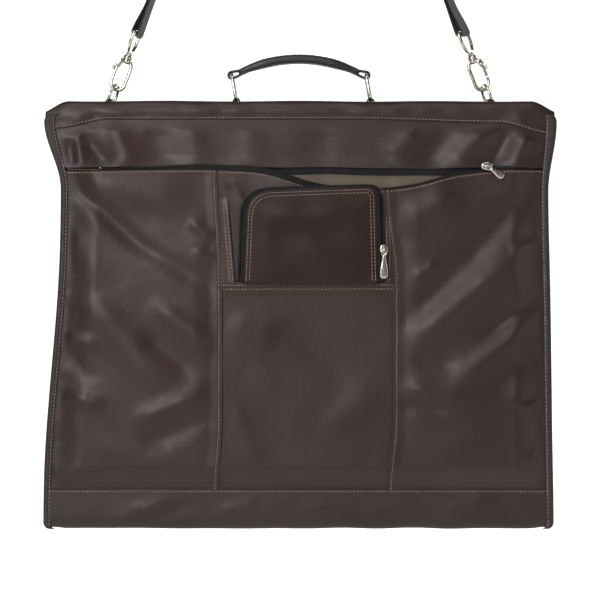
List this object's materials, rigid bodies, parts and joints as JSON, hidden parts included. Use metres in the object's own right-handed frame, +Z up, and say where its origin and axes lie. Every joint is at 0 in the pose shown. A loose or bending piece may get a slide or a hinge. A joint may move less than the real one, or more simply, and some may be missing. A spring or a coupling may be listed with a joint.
{
  "type": "garment bag",
  "caption": "Folded soft leather garment bag with a front zip pocket, a small U-zip pocket, a ringed carry handle and a clip-on shoulder strap it hangs from.",
  "frame": {"origin": "under the middle of the shoulder pad, where the strap rests on what holds it up", "axes": "+Z up, the bag's front face towards -Y, and +X to the right as seen from the front"},
  "size_m": [0.581, 0.0857, 0.8978],
  "materials": {
    "body_leather": "soft, lightly glossy dark brown",
    "trim_leather": "soft, lightly glossy dark brown",
    "grip_leather": "smooth dark grey",
    "lining": "matte tan-brown lining",
    "zip_tape": "matte black woven tape",
    "webbing": "ribbed black webbing",
    "nickel": "polished pale nickel plate",
    "board": "plain grey stiffener"
  },
  "bodies": {
    "strap": {"strap_webbing": "webbing", "swivel_eye_left": "nickel", "swivel_eye_right": "nickel"},
    "pad": {"shoulder_pad": "grip_leather", "pad_keeper_left": "grip_leather", "pad_keeper_right": "grip_leather"},
    "adjuster": {"strap_adjuster": "nickel"},
    "hook_left": {"snap_hook_left": "nickel", "gate_pin_left": "nickel"},
    "hook_right": {"snap_hook_right": "nickel", "gate_pin_right": "nickel"},
    "gate_left": {"hook_gate_left": "nickel"},
    "gate_right": {"hook_gate_right": "nickel"},
    "spine": {"spine_band": "trim_leather", "spine_board": "board", "handle_tab_left": "grip_leather", "handle_tab_right": "grip_leather", "ring_tab_left": "grip_leather", "ring_tab_right": "grip_leather"},
    "ring_left": {"d_ring_left": "nickel"},
    "ring_right": {"d_ring_right": "nickel"},
    "handle_link_left": {"handle_ring_left": "nickel"},
    "handle_link_right": {"handle_ring_right": "nickel"},
    "handle": {"handle_grip": "grip_leather", "handle_core": "grip_leather"},
    "front_half": {"front_outer_panel": "body_leather", "front_inner_panel_left": "lining", "front_inner_panel_right": "lining", "front_zip_tape": "zip_tape", "front_gusset": "trim_leather", "front_binding_left": "trim_leather", "front_binding_right": "trim_leather", "front_cap_band": "trim_leather", "front_bottom_band": "trim_leather", "pocket_panel_left": "body_leather", "pocket_panel_centre": "body_leather", "pocket_panel_right": "body_leather", "pocket_zip_tape_front": "zip_tape", "pocket_zip_tape_rear": "zip_tape", "u_zip_tape": "zip_tape"},
    "rear_half": {"rear_outer_panel": "body_leather", "rear_inner_panel_left": "lining", "rear_inner_panel_right": "lining", "rear_zip_tape": "zip_tape", "rear_gusset": "trim_leather", "rear_binding_left": "trim_leather", "rear_binding_right": "trim_leather", "rear_cap_band": "trim_leather", "rear_bottom_band": "trim_leather", "hanging_hook_tab": "grip_leather", "hanger_bracket": "nickel"},
    "pocket_slider": {"pocket_zip_slider": "nickel"},
    "pocket_puller": {"pocket_zip_puller": "nickel"},
    "u_flap": {"u_pocket_flap": "body_leather"},
    "u_slider": {"u_zip_slider": "nickel"},
    "u_puller": {"u_zip_puller": "nickel"},
    "garment_slider": {"garment_zip_slider": "nickel", "garment_zip_puller": "nickel"},
    "hanging_hook": {"hanging_hook": "nickel"},
    "retainer": {"hanger_retainer": "nickel"}
  },
  "joints": [
    {"name": "pad_slide_round", "type": "hinge", "parent": "strap", "child": "pad", "pos_m": [0, 0, -0.0736], "axis": [0, 1, 0], "range_deg": [-6, 6]},
    {"name": "adjuster_slide", "type": "slide", "parent": "strap", "child": "adjuster", "axis": [0.3584, 0, 0.9336], "range_m": [-0.04, 0.04]},
    {"name": "hook_swivel_left", "type": "hinge", "parent": "strap", "child": "hook_left", "pos_m": [-0.19557, 0, -0.3459], "axis": [-0.3584, 0, -0.9336], "range_deg": [-20, 20]},
    {"name": "hook_swivel_right", "type": "hinge", "parent": "strap", "child": "hook_right", "pos_m": [0.19557, 0, -0.3459], "axis": [-0.3584, 0, 0.9336], "range_deg": [-20, 20]},
    {"name": "gate_left", "type": "hinge", "parent": "hook_left", "child": "gate_left", "pos_m": [-0.20713, 0, -0.35592], "axis": [0, -1, 0], "range_deg": [0, 25], "stiffness_Nm_per_rad": 0.05, "springref_deg": -17.19},
    {"name": "gate_right", "type": "hinge", "parent": "hook_right", "child": "gate_right", "pos_m": [0.20713, 0, -0.35592], "axis": [0, 1, 0], "range_deg": [0, 25], "stiffness_Nm_per_rad": 0.05, "springref_deg": -17.19},
    {"name": "bag_swing", "type": "hinge", "parent": "strap", "child": "spine", "pos_m": [0, 0, -0.38698], "axis": [1, 0, 0], "range_deg": [-50, 50]},
    {"name": "ring_pivot_left", "type": "hinge", "parent": "spine", "child": "ring_left", "pos_m": [-0.216, 0, -0.39911], "axis": [-0.2419, -0.9703, 0], "range_deg": [-4, 4]},
    {"name": "ring_pivot_right", "type": "hinge", "parent": "spine", "child": "ring_right", "pos_m": [0.216, 0, -0.39911], "axis": [-0.2419, 0.9703, 0], "range_deg": [-4, 4]},
    {"name": "handle_swing", "type": "hinge", "parent": "spine", "child": "handle_link_left", "pos_m": [-0.0725, 0, -0.39851], "axis": [0, 1, 0], "range_deg": [-10, 30]},
    {"name": "handle_on_left_link", "type": "hinge", "parent": "handle_link_left", "child": "handle", "pos_m": [-0.07771, 0, -0.36897], "axis": [0, 1, 0], "range_deg": [-30, 10]},
    {"name": "handle_right_link", "type": "hinge", "parent": "spine", "child": "handle_link_right", "pos_m": [0.0805, 0, -0.39851], "axis": [0, 1, 0], "range_deg": [-10, 30]},
    {"name": "front_fold", "type": "hinge", "parent": "spine", "child": "front_half", "pos_m": [0, -0.0276, -0.40491], "axis": [-1, 0, 0], "range_deg": [0, 90]},
    {"name": "rear_fold", "type": "hinge", "parent": "spine", "child": "rear_half", "pos_m": [0, 0.0276, -0.40491], "axis": [1, 0, 0], "range_deg": [0, 90]},
    {"name": "pocket_zip", "type": "slide", "parent": "front_half", "child": "pocket_slider", "axis": [-1, 0, 0], "range_m": [0, 0.436]},
    {"name": "pocket_puller_lift", "type": "hinge", "parent": "pocket_slider", "child": "pocket_puller", "pos_m": [0.211, -0.0416, -0.47451], "axis": [-0.5592, 0, -0.829], "range_deg": [0, 150]},
    {"name": "u_flap_open", "type": "hinge", "parent": "front_half", "child": "u_flap", "pos_m": [0, -0.0446, -0.60401], "axis": [1, 0, 0], "range_deg": [-3, 75]},
    {"name": "u_zip", "type": "slide", "parent": "front_half", "child": "u_slider", "axis": [0, 0, 1], "range_m": [0, 0.052]},
    {"name": "u_puller_lift", "type": "hinge", "parent": "u_slider", "child": "u_puller", "pos_m": [0.094, -0.0478, -0.56951], "axis": [-1, 0, 0], "range_deg": [0, 150]},
    {"name": "garment_zip", "type": "slide", "parent": "rear_half", "child": "garment_slider", "axis": [0, 0, 1], "range_m": [0, 0.39]},
    {"name": "hanging_hook_turn", "type": "hinge", "parent": "rear_half", "child": "hanging_hook", "pos_m": [0, 0.0312, -0.87351], "axis": [-1, 0, 0], "range_deg": [0, 180]},
    {"name": "hanger_retainer_lift", "type": "hinge", "parent": "rear_half", "child": "retainer", "pos_m": [-0.027, 0.0154, -0.86651], "axis": [0, -1, 0], "range_deg": [0, 95]}
  ],
  "couplings": [
    {"joint": "handle_on_left_link", "follows": "handle_swing", "ratio": -1},
    {"joint": "handle_right_link", "follows": "handle_swing", "ratio": 1}
  ]
}
